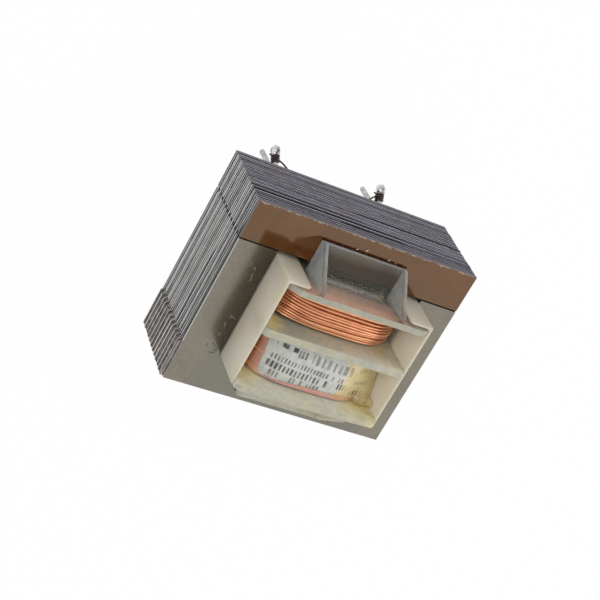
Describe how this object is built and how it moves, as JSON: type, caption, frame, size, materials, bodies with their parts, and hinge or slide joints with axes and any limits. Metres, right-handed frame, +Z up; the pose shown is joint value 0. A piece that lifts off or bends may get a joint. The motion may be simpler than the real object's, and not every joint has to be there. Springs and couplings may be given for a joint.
{
  "type": "mains transformer",
  "caption": "Small mains transformer for a circuit board: laminated iron core round a split bobbin with copper windings, side shrouds, a paper label and bent solder pins.",
  "frame": {"origin": "under the middle of the core, in the plane of the board pins' tips", "axes": "+Z up, pins down; X along the width across the three core legs; -Y is the long side where the top sheet has its I plate"},
  "size_m": [0.0304, 0.0265, 0.0292],
  "materials": {
    "lacquered_steel": "grey-olive core steel under clear varnish",
    "brown_lacquered_steel": "brown impregnating lacquer on core steel",
    "lamination_steel": "punched edges of core sheets",
    "natural_nylon": "milky, slightly see-through moulded nylon",
    "cream_shroud": "cream moulded insulation, a little yellowed",
    "fine_copper_wire": "very fine enamelled copper wire",
    "thick_copper_wire": "enamelled copper wire",
    "label_paper": "coated paper",
    "varnish": "hardened yellow varnish",
    "tinned_pin": "tinned wire",
    "enamelled_wire": "dark enamelled copper wire",
    "solder": "bright solder"
  },
  "bodies": {
    "root": {"outer_e_plates": "lacquered_steel", "inner_e_plates": "lamination_steel", "reversed_e_plates": "lamination_steel", "outer_i_plates": "brown_lacquered_steel", "inner_i_plates": "lamination_steel", "reversed_i_plates": "lamination_steel", "bobbin": "natural_nylon", "left_shroud": "cream_shroud", "right_shroud": "cream_shroud", "primary_winding": "fine_copper_wire", "secondary_winding": "thick_copper_wire", "label": "label_paper", "varnish_drop": "varnish", "terminal_1": "tinned_pin", "terminal_2": "tinned_pin", "terminal_3": "tinned_pin", "terminal_4": "tinned_pin", "wire_wrap_1": "enamelled_wire", "wire_wrap_2": "enamelled_wire", "wire_wrap_3": "enamelled_wire", "wire_wrap_4": "enamelled_wire", "solder_1": "solder", "solder_2": "solder", "solder_3": "solder", "solder_4": "solder", "lead_1": "enamelled_wire", "lead_2": "enamelled_wire", "lead_3": "enamelled_wire", "lead_4": "enamelled_wire"}
  },
  "joints": []
}
